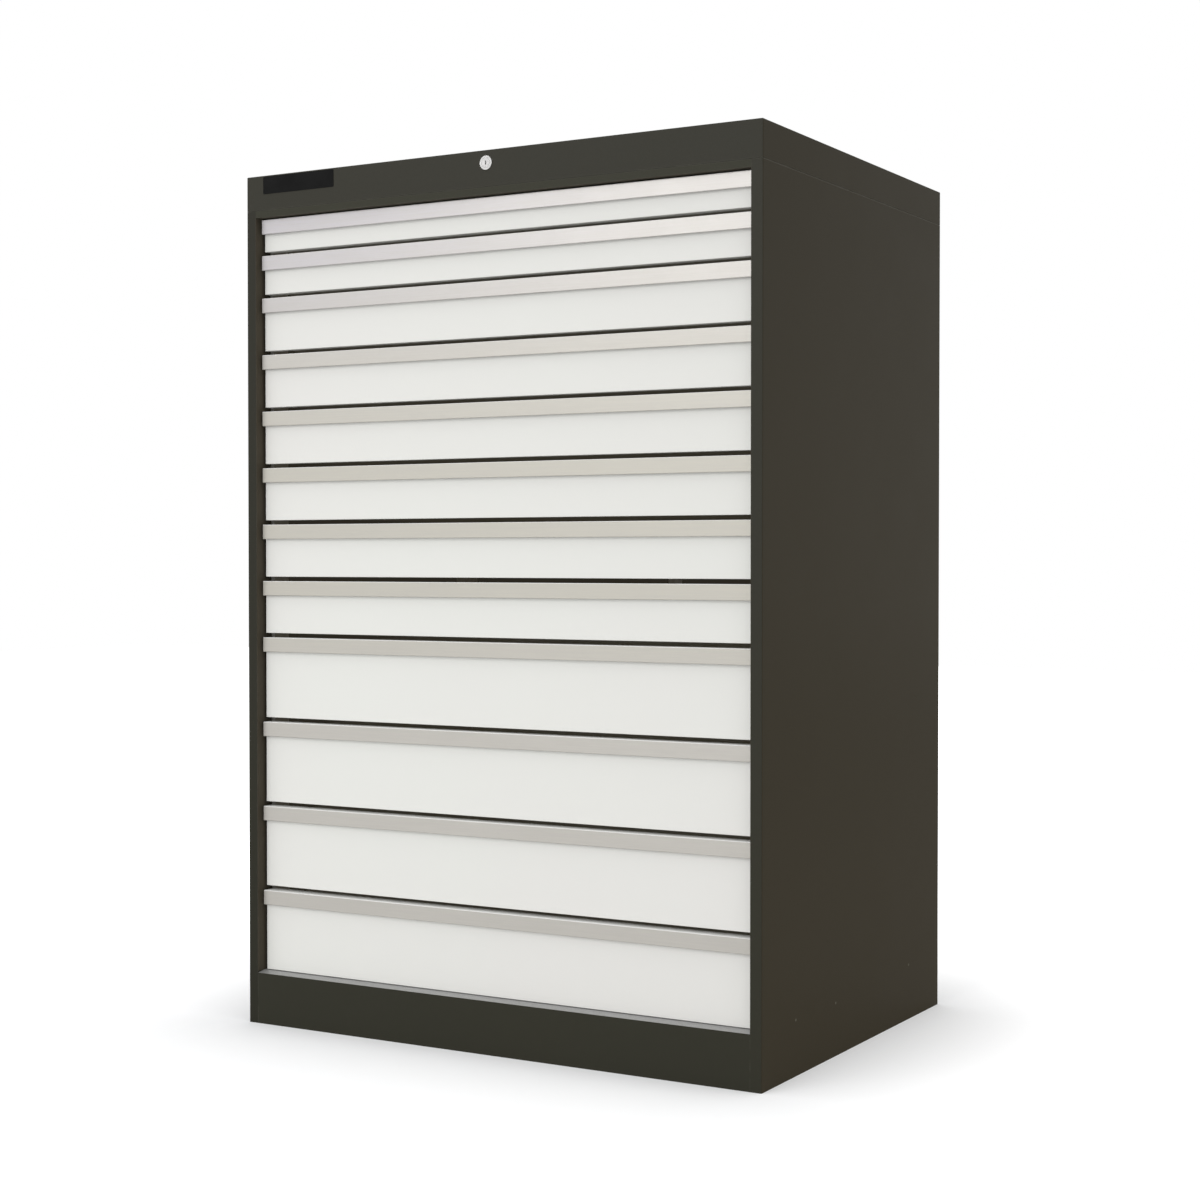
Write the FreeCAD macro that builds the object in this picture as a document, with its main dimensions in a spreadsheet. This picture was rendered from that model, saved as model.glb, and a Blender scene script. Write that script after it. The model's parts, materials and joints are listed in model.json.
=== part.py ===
import FreeCAD, Part
import os
import Sketcher

# Heavy-duty drawer cabinet: a welded sheet-steel housing with twelve full-extension drawers.
# The frame has +X to the right of someone facing the drawers, +Y to the rear and +Z up.
# The origin lies on the floor, at the middle of the cabinet's outer box. Lengths are millimetres.

SIZES = [
    # Housing
    ("housing_sheet", 1.5, "sheet of the housing"),
    ("corner_radius", 2.5, "outside fold radius of the housing"),
    ("stile_width", 20.0, "front face of a side panel"),
    ("stile_return", 40.0, "depth of the fold behind a stile"),
    ("rear_flange", 20.0, "rear fold of a side panel"),
    ("base_height", 90.0, "floor to the ledge of the base"),
    ("base_lip", 20.0, "bottom fold of the base"),
    ("base_flange", 30.0, "side fold of the base plate"),
    ("header_height", 73.0, "front face above the drawers"),
    ("top_skirt", 60.0, "skirt of the top panel"),
    ("top_edge", 0.8, "bevel round the top panel"),
    ("seam", 0.6, "seam between a side panel and the top panel"),
    ("header_return", 30.0, "depth of the header rail's lower fold"),
    ("header_upturn", 15.0, "height of the header rail's rear fold"),
    ("header_tongue", 20.0, "header rail behind the skirt"),
    ("rear_room", 112.6, "tray to the back panel"),
    # Stack of drawers
    ("small_height", 75.0, "pitch of a small drawer"),
    ("medium_height", 100.0, "pitch of a medium drawer"),
    ("large_height", 150.0, "pitch of a large drawer"),
    ("small_drawers", 2, "number of small drawers"),
    ("medium_drawers", 6, "number of medium drawers"),
    ("large_drawers", 4, "number of large drawers"),
    ("ledge_gap", 4.0, "front edge of the base to the lowest front"),
    ("sill_clear", 1.0, "rear edge of the sill to the lowest front"),
    ("front_gap", 8.0, "front to the handle below it"),
    ("top_trim", 11.5, "height taken off the top drawer"),
    ("top_gap", 2.5, "top handle to the header"),
    # Drawer front and handle
    ("handle_setback", 11.0, "housing front to the handle"),
    ("handle_step", 8.0, "handle to the front panel"),
    ("front_side_gap", 5.0, "stile to the front"),
    ("front_sheet", 1.2, "sheet of the front"),
    ("front_depth", 18.0, "depth of the front's folds"),
    ("front_edge", 0.6, "bevel of the front's folds"),
    ("handle_height", 25.5, "height of the handle's lip"),
    ("handle_lip", 2.4, "wall of the handle's lip"),
    ("handle_top", 2.5, "wall of the handle's top"),
    ("handle_hook", 10.0, "height of the handle's rear leg"),
    ("handle_hook_wall", 1.5, "wall of the handle's rear leg"),
    ("handle_edge", 0.8, "bevel of the handle's lip"),
    ("handle_fit", 0.3, "rear leg to the tray"),
    # Tray
    ("tray_width", 900.0, "inside width of a tray"),
    ("tray_length", 600.0, "inside length of a tray"),
    ("tray_sheet", 1.2, "sheet of a tray"),
    ("tray_rise", 12.0, "slot to the underside of a tray"),
    ("rim_drop", 12.0, "top of the slot to a tray's rim"),
    ("rim_width", 7.8, "fold of a tray's rim"),
    # Telescopic slides
    ("slide_rise", 18.0, "underside of a tray to the slide's middle"),
    ("channel_sheet", 1.5, "sheet of the tray's channel"),
    ("roller_radius", 11.0, "radius of a roller"),
    ("roller_width", 10.5, "width of a roller"),
    ("roller_gap", 0.3, "roller to the channel it runs in"),
    ("roller_inset", 25.0, "roller to the end of its half of the carriage"),
    ("glide_length", 24.0, "length of a glide block"),
    ("side_play", 0.5, "roller to the web beside it"),
    ("carriage_sheet", 2.5, "plate of a carriage"),
    ("carriage_flange", 7.8, "fold of a carriage"),
    ("carriage_gap", 0.7, "carriage fold to the rail inside it"),
    ("carriage_setback", 8.0, "tray to the carriage"),
    ("rail_sheet", 1.8, "sheet of a fixed rail"),
    ("rail_inset", 2.0, "upright's edge to the rail's end"),
    # Uprights and the hooks of the rails
    ("upright_depth", 24.5, "rail to the side panel"),
    ("upright_width", 40.0, "width of an upright"),
    ("upright_sheet", 2.0, "sheet of an upright"),
    ("upright_gap", 2.0, "stile's fold to the front upright"),
    ("rear_upright_gap", 52.0, "rear upright to the back panel"),
    ("hook_width", 3.0, "hook along the rail"),
    ("hook_neck", 6.0, "height of a hook's neck"),
    ("hook_nose", 4.0, "nose below the neck"),
    ("hook_reach", 6.0, "nose behind the upright's face"),
    ("hook_play", 0.75, "hook to the side of its slot"),
    ("slot_play", 2.0, "height of a slot over a hook"),
    ("hook_gap", 0.3, "upright's face to the nose behind it"),
    # Lock
    ("lock_drop", 21.0, "top of the cabinet to the lock"),
    ("lock_radius", 11.6, "radius of the lock's flange"),
    ("lock_proud", 1.2, "flange in front of the housing"),
    ("barrel_radius", 10.0, "radius of the lock barrel"),
    ("barrel_length", 22.0, "barrel behind the housing front"),
    ("plug_radius", 8.0, "radius of the lock plug"),
    ("plug_tail", 2.0, "plug behind the barrel"),
    ("key_width", 1.6, "width of the keyway"),
    ("key_height", 7.0, "height of the keyway"),
    ("key_depth", 12.0, "depth of the keyway"),
    ("turning_gap", 0.3, "turning parts to their bores"),
    ("rod_radius", 5.0, "radius of the lock rod"),
    ("crank_reach", 10.0, "rod to the crank pin"),
    ("crank_sheet", 3.0, "plate of the crank"),
    ("crank_gap", 6.5, "crank to the lock bar"),
    ("pin_radius", 3.0, "radius of the crank pin"),
    ("pin_end", 1.5, "crank pin beyond the lock bar"),
    ("pin_lead", 2.2, "drop of the pin behind the bar in mid turn"),
    ("hanger_width", 30.0, "width of the rod's hanger"),
    ("hanger_sheet", 2.0, "plate of the hanger"),
    ("hanger_lead", 25.0, "hanger to the crank"),
    ("bar_width", 40.0, "width of the lock bar"),
    ("bar_sheet", 3.0, "plate of the lock bar"),
    ("bar_rim", 4.0, "lock bar beyond its window"),
    ("bar_lift", 3.0, "lock bar above the base"),
    ("bar_play", 0.3, "lock bar to its guide"),
    ("guide_lip", 5.0, "front fold of the bar's guide"),
    ("bracket_height", 60.0, "height of a guide bracket"),
    ("bracket_inset", 90.0, "guide's end to its bracket"),
    ("lug_rise", 30.0, "underside of a tray to its lug"),
    ("lug_reach", 14.1, "tray to the lug's lip"),
    ("lug_drop", 10.0, "height of the lug's lip"),
    ("lug_sheet", 1.5, "sheet of the lug"),
    ("lug_width", 30.0, "width of the lug"),
    ("catch_play", 1.0, "lug to the catch in front of it"),
    ("catch_clear", 2.0, "catch below the lug when unlocked"),
    ("catch_sheet", 3.0, "plate of a catch"),
    ("catch_height", 10.0, "height of a catch's lip over its arm"),
    ("catch_width", 24.0, "width of a catch"),
    ("catch_gap", 13.0, "lug's lip to the lock bar"),
]

START, END, CENTRE = 1, 2, 3
CUT_THROUGH = 3  # wall thicknesses that a through cut runs, with one wall to spare on each side
ORIGIN = -1
ACROSS = FreeCAD.Vector(1, 0, 0)
UP = FreeCAD.Vector(0, 0, 1)

doc = FreeCAD.newDocument("drawer_cabinet")
sheet = doc.addObject("Spreadsheet::Sheet", "Sizes")


class Size:
    """A length with its number and the sheet expression that drives it."""

    def __init__(self, value, text):
        self.value = value
        self.text = text

    def __add__(self, other):
        other = as_size(other)
        return Size(self.value + other.value, f"({self.text} + {other.text})")

    def __sub__(self, other):
        other = as_size(other)
        return Size(self.value - other.value, f"({self.text} - {other.text})")

    def __mul__(self, factor):
        return Size(self.value * factor, f"({self.text} * {factor})")

    def __truediv__(self, factor):
        return Size(self.value / factor, f"({self.text} / {factor})")

    def __neg__(self):
        return Size(-self.value, f"(-1 * {self.text})")


def as_size(item):
    """A plain number as a Size."""
    return item if isinstance(item, Size) else Size(item, str(item))


ZERO = as_size(0)


def fill_sheet():
    """The driving dimensions as aliased cells, and a Size for each."""
    sizes = {}
    for row, (name, value, note) in enumerate(SIZES, start=1):
        sheet.set(f"A{row}", note)
        sheet.set(f"B{row}", str(value))
        sheet.setAlias(f"B{row}", name)
        sizes[name] = Size(value, f"Sizes.{name}")
    return sizes


def bind(item, prop, size):
    """Drive one property of an object from the sheet."""
    item.setExpression(prop, as_size(size).text)


def new_body(label, rise=None):
    """An empty body, lifted to its slot where it has one."""
    body = doc.addObject("PartDesign::Body", label)
    if rise is not None:
        bind(body, "Placement.Base.z", rise)
    return body


def new_sketch(body, plane, offset=None):
    """An empty sketch on one of the body's origin planes, moved along its normal."""
    support = next(item for item in body.Origin.OriginFeatures if item.Role == plane)
    sketch = body.newObject("Sketcher::SketchObject", body.Label + "_sketch")
    sketch.AttachmentSupport = [(support, "")]
    sketch.MapMode = "FlatFace"
    if offset is not None:
        bind(sketch, "AttachmentOffset.Base.z", offset)
    return sketch


def fix_point(sketch, geometry, place, corner):
    """Hold one point of a sketch at a corner given by two sizes."""
    for direction, size in zip(("DistanceX", "DistanceY"), corner):
        size = as_size(size)
        hold = Sketcher.Constraint(direction, ORIGIN, START, geometry, place, size.value)
        number = sketch.addConstraint(hold)
        sketch.setExpression(f"Constraints[{number}]", size.text)


def outline(sketch, corners):
    """A closed outline of straight lines through the corners."""
    first = sketch.GeometryCount
    points = [FreeCAD.Vector(as_size(u).value, as_size(v).value, 0) for u, v in corners]
    ends = points[1:] + points[:1]
    sketch.addGeometry([Part.LineSegment(a, b) for a, b in zip(points, ends)])
    count = len(points)
    meet = [
        Sketcher.Constraint("Coincident", first + i, END, first + (i + 1) % count, START)
        for i in range(count)
    ]
    sketch.addConstraint(meet)
    for i, corner in enumerate(corners):
        fix_point(sketch, first + i, START, corner)


def box_corners(left, right, low, high):
    """The corners of a rectangle."""
    return [(left, low), (right, low), (right, high), (left, high)]


def rectangle(sketch, left, right, low, high):
    """A closed rectangle between four sizes."""
    outline(sketch, box_corners(left, right, low, high))


def circle(sketch, centre, radius):
    """A circle about a centre."""
    middle = FreeCAD.Vector(as_size(centre[0]).value, as_size(centre[1]).value, 0)
    number = sketch.addGeometry(Part.Circle(middle, UP, radius.value))
    fix_point(sketch, number, CENTRE, centre)
    hold = sketch.addConstraint(Sketcher.Constraint("Radius", number, radius.value))
    sketch.setExpression(f"Constraints[{hold}]", radius.text)


def mirrored(half):
    """A whole outline from its right half, which starts and ends on the middle line."""
    inner = half[1:-1]
    return half + [(-u, v) for u, v in reversed(inner)]


def other_side(corners):
    """The same outline on the left."""
    return [(-u, v) for u, v in reversed(corners)]


def extrude(body, kind, sketch, length, side="One side", backward=False):
    """A Pad or a Pocket of a sketch."""
    feature = body.newObject("PartDesign::" + kind, body.Label + "_" + kind.lower())
    feature.Profile = sketch
    feature.SideType = side
    feature.Reversed = backward
    bind(feature, "Length", length)
    sketch.Visibility = False
    body.Tip = feature
    return feature


def pad_x(body, corners, width):
    """Pad an outline in Y and Z to both sides of the middle."""
    sketch = new_sketch(body, "YZ_Plane")
    outline(sketch, corners)
    return extrude(body, "Pad", sketch, width, side="Symmetric")


def pad_y(body, loops, start, length):
    """Pad outlines in X and Z rearwards from a start in Y."""
    sketch = new_sketch(body, "XZ_Plane", -start)
    for corners in loops:
        outline(sketch, corners)
    return extrude(body, "Pad", sketch, length, backward=True)


def pad_z(body, loops, start, length):
    """Pad outlines in X and Y upwards from a start in Z."""
    sketch = new_sketch(body, "XY_Plane", start)
    for corners in loops:
        outline(sketch, corners)
    return extrude(body, "Pad", sketch, length)


def disc_y(body, kind, centre, radius, start, length):
    """Pad or pocket a circle in X and Z rearwards from a start in Y."""
    sketch = new_sketch(body, "XZ_Plane", -start)
    circle(sketch, centre, radius)
    return extrude(body, kind, sketch, length, backward=kind == "Pad")


def dress_edges(body, kind, size, wanted, along=None):
    """A Fillet or a Chamfer on the straight edges whose ends pass a test and which run along a direction."""
    doc.recompute()
    base = body.Tip
    names = []
    for number, edge in enumerate(base.Shape.Edges, start=1):
        ends = [vertex.Point for vertex in edge.Vertexes]
        if len(ends) != 2 or not all(wanted(point) for point in ends):
            continue
        run = ends[1] - ends[0]
        if along is None or near(abs(run.dot(along)), run.Length):
            names.append(f"Edge{number}")
    feature = body.newObject("PartDesign::" + kind, body.Label + "_" + kind.lower())
    feature.Base = (base, names)
    bind(feature, "Radius" if kind == "Fillet" else "Size", size)
    body.Tip = feature


def near(value, size):
    """Whether a coordinate lies at a size."""
    return abs(value - as_size(size).value) < 0.01


def group(label, items, rise=None):
    """Separate solids that share one node, lifted to their slot where they have one."""
    compound = doc.addObject("Part::Compound", label)
    compound.Links = items
    if rise is not None:
        bind(compound, "Placement.Base.z", rise)
    return compound


def mirror_x(label, source):
    """The left-hand copy of a right-hand object."""
    mirror = doc.addObject("Part::Mirroring", label)
    mirror.Source = source
    mirror.Base = FreeCAD.Vector(0, 0, 0)
    mirror.Normal = ACROSS
    return mirror


S = fill_sheet()
sheet_t = S["housing_sheet"]

# Widths from the middle of the tray outwards, on the right-hand side.
tray_in = S["tray_width"] / 2
tray_out = tray_in + S["tray_sheet"]
channel_in = tray_out + S["channel_sheet"]
plate_in = channel_in + S["side_play"] + S["roller_width"]
plate_out = plate_in + S["carriage_sheet"]
rail_in = plate_out + S["roller_width"] + S["side_play"]
rail_out = rail_in + S["rail_sheet"]
side_in = rail_out + S["upright_depth"]
side_out = side_in + sheet_t
opening = side_out - S["stile_width"]
front_half = opening - S["front_side_gap"]

# Depths, first from the housing's front face and then in the cabinet's frame.
front_deep = S["handle_setback"] + S["handle_step"]
tray_deep = front_deep + S["front_depth"]
tray_back_deep = tray_deep + S["tray_sheet"] + S["tray_length"] + S["tray_sheet"]
depth = tray_back_deep + S["rear_room"] + sheet_t + sheet_t
face = (S["lock_proud"] - depth) / 2
rear = face + depth
back_in = rear - sheet_t - sheet_t
handle_face = face + S["handle_setback"]
front_face = face + front_deep
tray_front = face + tray_deep
tray_back = face + tray_back_deep

# Heights from the floor.
ledge = S["base_height"]
slot_floor = ledge + S["ledge_gap"] - S["front_gap"]


def drawer_stack():
    """Name, slot and height of each drawer, from the lowest up, numbered from the top."""
    kinds = []
    for kind in ("large", "medium", "small"):
        kinds += [S[kind + "_height"]] * int(S[kind + "_drawers"].value)
    drawers = []
    low = slot_floor
    for place, height in enumerate(kinds):
        number = len(kinds) - place
        kept = height - S["top_trim"] if number == 1 else height
        drawers.append((f"{number:02d}", low, kept))
        low = low + height
    return drawers, low


DRAWERS, stack_top = drawer_stack()
header_low = stack_top - S["top_trim"] + S["top_gap"]
height_all = header_low + S["header_height"]
side_top = height_all - S["top_skirt"] - S["seam"]
top_under = height_all - sheet_t
lock_height = height_all - S["lock_drop"]


def at_outer_corner(point):
    """Whether a point lies on one of the housing's four upright corners."""
    at_end = near(point.y, face) or near(point.y, rear)
    return near(abs(point.x), side_out) and at_end


def side_panel():
    """The right side: a sheet with the stile, its fold and the rear flange."""
    body = new_body("side_panel_right")
    section = [
        (opening, face),
        (side_out, face),
        (side_out, rear),
        (side_out - S["rear_flange"], rear),
        (side_out - S["rear_flange"], rear - sheet_t),
        (side_in, rear - sheet_t),
        (side_in, face + sheet_t),
        (opening + sheet_t, face + sheet_t),
        (opening + sheet_t, face + S["stile_return"]),
        (opening, face + S["stile_return"]),
    ]
    pad_z(body, [section], ZERO, side_top)
    dress_edges(body, "Fillet", S["corner_radius"], at_outer_corner, along=UP)
    return body


def back_panel():
    """The rear sheet with the guide of the lock bar on its three brackets."""
    body = new_body("back_panel")
    pad_z(body, [box_corners(-side_in, side_in, back_in, back_in + sheet_t)], ZERO, side_top)
    bar_half = S["bar_width"] / 2
    leg = bar_half + S["bar_play"]
    web = bar_back + S["bar_play"]
    lip = bar_front - S["bar_play"]
    guide = mirrored([
        (ZERO, web + sheet_t),
        (leg + sheet_t, web + sheet_t),
        (leg + sheet_t, lip - sheet_t),
        (leg - S["guide_lip"], lip - sheet_t),
        (leg - S["guide_lip"], lip),
        (leg, lip),
        (leg, web),
        (ZERO, web),
    ])
    guide_top = header_low - S["header_return"]
    bracket = mirrored([
        (ZERO, web + sheet_t),
        (leg, web + sheet_t),
        (leg, back_in),
        (leg - sheet_t, back_in),
        (leg - sheet_t, web + sheet_t + sheet_t),
        (ZERO, web + sheet_t + sheet_t),
    ])
    low = ledge + S["bracket_inset"]
    high = guide_top - S["bracket_inset"] - S["bracket_height"]
    for start in (low, (low + high) / 2, high):
        pad_z(body, [bracket], start, S["bracket_height"])
    pad_z(body, [guide], ledge, guide_top - ledge)
    return body


def top_panel():
    """The top sheet with its skirt all round, the lock's hole and the rod's hanger."""
    body = new_body("top_panel")
    skirt_low = height_all - S["top_skirt"]
    pad_z(body, [box_corners(-side_out, side_out, face, rear)], skirt_low, S["top_skirt"])
    hollow = new_sketch(body, "XY_Plane", skirt_low)
    rectangle(hollow, -side_in, side_in, face + sheet_t, rear - sheet_t)
    extrude(body, "Pocket", hollow, S["top_skirt"] - sheet_t, backward=True)
    dress_edges(body, "Fillet", S["corner_radius"], at_outer_corner, along=UP)
    dress_edges(body, "Chamfer", S["top_edge"], lambda p: near(p.z, height_all))
    middle = (ZERO, lock_height)
    hole = S["barrel_radius"] + S["turning_gap"]
    disc_y(body, "Pocket", middle, hole, face - sheet_t, sheet_t * CUT_THROUGH)
    hanger = box_corners(
        -S["hanger_width"] / 2,
        S["hanger_width"] / 2,
        lock_height - S["hanger_width"] / 2,
        top_under,
    )
    hanger_front = crank_front - S["hanger_lead"]
    pad_y(body, [hanger], hanger_front, S["hanger_sheet"])
    bore = S["rod_radius"] + S["turning_gap"]
    hanger_wall = S["hanger_sheet"]
    disc_y(body, "Pocket", middle, bore, hanger_front - hanger_wall, hanger_wall * CUT_THROUGH)
    return body


def header_rail():
    """The folded rail over the drawers: a flush strip, a tongue behind the skirt and a lower fold."""
    body = new_body("header_rail")
    tongue_top = side_top + S["header_tongue"]
    back = face + S["header_return"]
    section = [
        (face, header_low),
        (face, side_top),
        (face + sheet_t, side_top),
        (face + sheet_t, tongue_top),
        (face + sheet_t * 2, tongue_top),
        (face + sheet_t * 2, side_top - sheet_t),
        (face + sheet_t, side_top - sheet_t),
        (face + sheet_t, header_low + sheet_t),
        (back - sheet_t, header_low + sheet_t),
        (back - sheet_t, header_low + S["header_upturn"]),
        (back, header_low + S["header_upturn"]),
        (back, header_low),
    ]
    pad_x(body, section, opening * 2)
    return body


def base_frame():
    """The plinth: front and rear skirts, the sill, the floor plate and its side folds."""
    body = new_body("base_frame")
    lip = S["base_lip"]
    sill_top = ledge + S["ledge_gap"] - S["sill_clear"]
    section = [
        (face, ZERO),
        (face, ledge),
        (front_face, sill_top),
        (tray_front, sill_top),
        (tray_front, ledge),
        (back_in, ledge),
        (back_in, ZERO),
        (back_in - lip, ZERO),
        (back_in - lip, sheet_t),
        (back_in - sheet_t, sheet_t),
        (back_in - sheet_t, ledge - sheet_t),
        (tray_front - sheet_t, ledge - sheet_t),
        (tray_front - sheet_t, sill_top - sheet_t),
        (front_face, sill_top - sheet_t),
        (face + sheet_t, ledge - sheet_t),
        (face + sheet_t, sheet_t),
        (face + lip, sheet_t),
        (face + lip, ZERO),
    ]
    pad_x(body, section, opening * 2)
    wing = [
        (opening, ledge - sheet_t),
        (side_in - sheet_t, ledge - sheet_t),
        (side_in - sheet_t, ledge - S["base_flange"]),
        (side_in, ledge - S["base_flange"]),
        (side_in, ledge),
        (opening, ledge),
    ]
    pad_y(body, [wing, other_side(wing)], upright_front, back_in - upright_front)
    return body


# Slides: the rail is hooked on two uprights, and the carriage runs between rail and tray.
slide_mid = S["tray_rise"] + S["slide_rise"]
channel_half = S["roller_radius"] + S["roller_gap"]
upright_front = face + S["stile_return"] + S["upright_gap"]
rail_front = upright_front + S["rail_inset"]
upright_rear = back_in - S["rear_upright_gap"] - S["upright_width"]
rail_back = upright_rear + S["upright_width"] - S["rail_inset"]
carriage_front = tray_front + S["carriage_setback"]
carriage_length = S["tray_length"]


def channel_section(web_in, web_out, tip, half, wall):
    """A C section whose mouth faces the tip, about the slide's middle line."""
    outer = half + wall
    return [
        (web_out, slide_mid - outer),
        (web_out, slide_mid + outer),
        (tip, slide_mid + outer),
        (tip, slide_mid + half),
        (web_in, slide_mid + half),
        (web_in, slide_mid - half),
        (tip, slide_mid - half),
        (tip, slide_mid - outer),
    ]


def fixed_rail():
    """One right-hand rail with a hook for each upright."""
    body = new_body("rail_right")
    section = channel_section(rail_in, rail_out, plate_out + S["side_play"], channel_half, S["channel_sheet"])
    pad_y(body, [section], rail_front, rail_back - rail_front)
    neck_low = slide_mid - S["hook_neck"] / 2
    neck_top = slide_mid + S["hook_neck"] / 2
    nose_in = rail_out + S["upright_sheet"] + S["hook_gap"]
    hook = [
        (rail_out, neck_low),
        (nose_in, neck_low),
        (nose_in, neck_low - S["hook_nose"]),
        (nose_in + S["hook_reach"], neck_low - S["hook_nose"]),
        (nose_in + S["hook_reach"], neck_top),
        (rail_out, neck_top),
    ]
    for upright in (upright_front, upright_rear):
        middle = upright + S["upright_width"] / 2
        pad_y(body, [hook], middle - S["hook_width"] / 2, S["hook_width"])
    return body


def fixed_rails():
    """All the rails, left and right."""
    right = fixed_rail()
    left = mirror_x("rail_left", right)
    pairs = [group("rail_pair_" + name, [right, left], low) for name, low, height in DRAWERS]
    return group("fixed_rails", pairs)


def slotted_uprights():
    """Four U-shaped uprights with a slot at every hook."""
    body = new_body("upright_right")
    y0 = upright_front
    y1 = upright_front + S["upright_width"]
    wall = S["upright_sheet"]
    section = [
        (rail_out, y0),
        (side_in, y0),
        (side_in, y0 + wall),
        (rail_out + wall, y0 + wall),
        (rail_out + wall, y1 - wall),
        (side_in, y1 - wall),
        (side_in, y1),
        (rail_out, y1),
    ]
    pad_z(body, [section], ledge, top_under - ledge)
    slots = new_sketch(body, "YZ_Plane", rail_out - wall)
    middle = (y0 + y1) / 2
    half = S["hook_width"] / 2 + S["hook_play"]
    for name, low, height in DRAWERS:
        bottom = low + slide_mid - S["hook_neck"] / 2
        slot_height = S["hook_neck"] + S["hook_nose"] + S["slot_play"]
        rectangle(slots, middle - half, middle + half, bottom, bottom + slot_height)
    extrude(body, "Pocket", slots, wall * CUT_THROUGH, backward=True)
    rear_copy = doc.addObject("Part::Compound", "upright_right_rear")
    rear_copy.Links = [body]
    bind(rear_copy, "Placement.Base.y", upright_rear - upright_front)
    left = mirror_x("upright_left", body)
    left_rear = mirror_x("upright_left_rear", rear_copy)
    return group("slotted_uprights", [body, rear_copy, left, left_rear])


def carriage_pair():
    """The right and left carriages: a folded plate with a roller at its rear and three glides."""
    plate = new_body("carriage_plate")
    half = channel_half + S["channel_sheet"] + S["carriage_gap"]
    wall = S["carriage_sheet"]
    outer = half + wall
    section = [
        (plate_in, slide_mid - outer),
        (plate_in, slide_mid + outer),
        (plate_out + S["carriage_flange"], slide_mid + outer),
        (plate_out + S["carriage_flange"], slide_mid + half),
        (plate_out, slide_mid + half),
        (plate_out, slide_mid - half),
        (plate_out + S["carriage_flange"], slide_mid - half),
        (plate_out + S["carriage_flange"], slide_mid - outer),
    ]
    pad_y(plate, [section], carriage_front, carriage_length)
    middle = carriage_length / 2
    inset = S["roller_inset"]
    inner_side = plate_in - S["roller_width"]
    running = [
        glide("inner_front_glide", inner_side, inset),
        glide("inner_rear_glide", inner_side, middle - inset),
        glide("outer_glide", plate_out, middle + inset),
        roller("outer_roller", plate_out, carriage_length - inset),
    ]
    right = group("carriage_right", [plate] + running)
    return [right, mirror_x("carriage_left", right)]


def roller(label, side, place):
    """A roller across the slide, at a place along the carriage."""
    cylinder = doc.addObject("Part::Cylinder", label)
    bind(cylinder, "Radius", S["roller_radius"])
    bind(cylinder, "Height", S["roller_width"])
    cylinder.Placement.Rotation = FreeCAD.Rotation(FreeCAD.Vector(0, 1, 0), 90)
    bind(cylinder, "Placement.Base.x", side)
    bind(cylinder, "Placement.Base.y", carriage_front + place)
    bind(cylinder, "Placement.Base.z", slide_mid)
    return cylinder


def glide(label, side, place):
    """A plastic glide block as wide as a roller, at a place along the carriage."""
    block = doc.addObject("Part::Box", label)
    bind(block, "Length", S["roller_width"])
    bind(block, "Width", S["glide_length"])
    bind(block, "Height", S["roller_radius"] * 2)
    bind(block, "Placement.Base.x", side)
    bind(block, "Placement.Base.y", carriage_front + place - S["glide_length"] / 2)
    bind(block, "Placement.Base.z", slide_mid - S["roller_radius"])
    return block


def tray_box(name, height):
    """The sheet box of one tray, with its rims and the wide wall behind the front."""
    body = new_body("tray_box_" + name)
    bottom = S["tray_rise"]
    wall = S["tray_sheet"]
    rim = height - S["rim_drop"]
    half = [
        (ZERO, bottom),
        (tray_out, bottom),
        (tray_out, rim - wall),
        (tray_out + S["rim_width"], rim - wall),
        (tray_out + S["rim_width"], rim),
        (tray_in, rim),
        (tray_in, bottom + wall),
        (ZERO, bottom + wall),
    ]
    pad_y(body, [mirrored(half)], tray_front, tray_back - tray_front)
    back = box_corners(-tray_in, tray_in, bottom + wall, rim)
    pad_y(body, [back], tray_back - wall, wall)
    front = box_corners(-front_half, front_half, S["front_gap"], height - S["handle_top"])
    pad_y(body, [front], tray_front, wall)
    return body


def tray_channel():
    """The channel of the slide on the right-hand wall of a tray."""
    body = new_body("tray_channel_right")
    tip = plate_in - S["side_play"]
    section = channel_section(channel_in, tray_out, tip, channel_half, S["channel_sheet"])
    start = tray_front + S["tray_sheet"]
    pad_y(body, [section], start, tray_back - start)
    return body


def tray_lug():
    """The lug behind a tray, whose lip the lock's catch holds."""
    body = new_body("tray_lug")
    lip = tray_back + S["lug_reach"]
    thin = S["lug_sheet"]
    section = [
        (tray_back, lug_top),
        (lip + thin, lug_top),
        (lip + thin, lug_top - thin - S["lug_drop"]),
        (lip, lug_top - thin - S["lug_drop"]),
        (lip, lug_top - thin),
        (tray_back, lug_top - thin),
    ]
    pad_x(body, section, S["lug_width"])
    return body


def trays():
    """Each drawer's tray: its box, the two channels and the lug."""
    channel = tray_channel()
    fittings = [channel, mirror_x("tray_channel_left", channel), tray_lug()]
    return [
        group(f"drawer_{name}_tray", [tray_box(name, height)] + fittings, low)
        for name, low, height in DRAWERS
    ]


def front(name, low, height):
    """The drawer's front: a shallow folded pan, open to the rear."""
    body = new_body(f"drawer_{name}_front", low)
    top = height - S["handle_top"]
    pad_y(body, [box_corners(-front_half, front_half, S["front_gap"], top)], front_face, S["front_depth"])
    wall = S["front_sheet"]
    hollow = new_sketch(body, "XZ_Plane", -tray_front)
    rectangle(hollow, -front_half + wall, front_half - wall, S["front_gap"] + wall, top - wall)
    extrude(body, "Pocket", hollow, S["front_depth"] - wall, backward=True)
    dress_edges(body, "Chamfer", S["front_edge"], lambda p: near(p.y, front_face))
    return body


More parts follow.
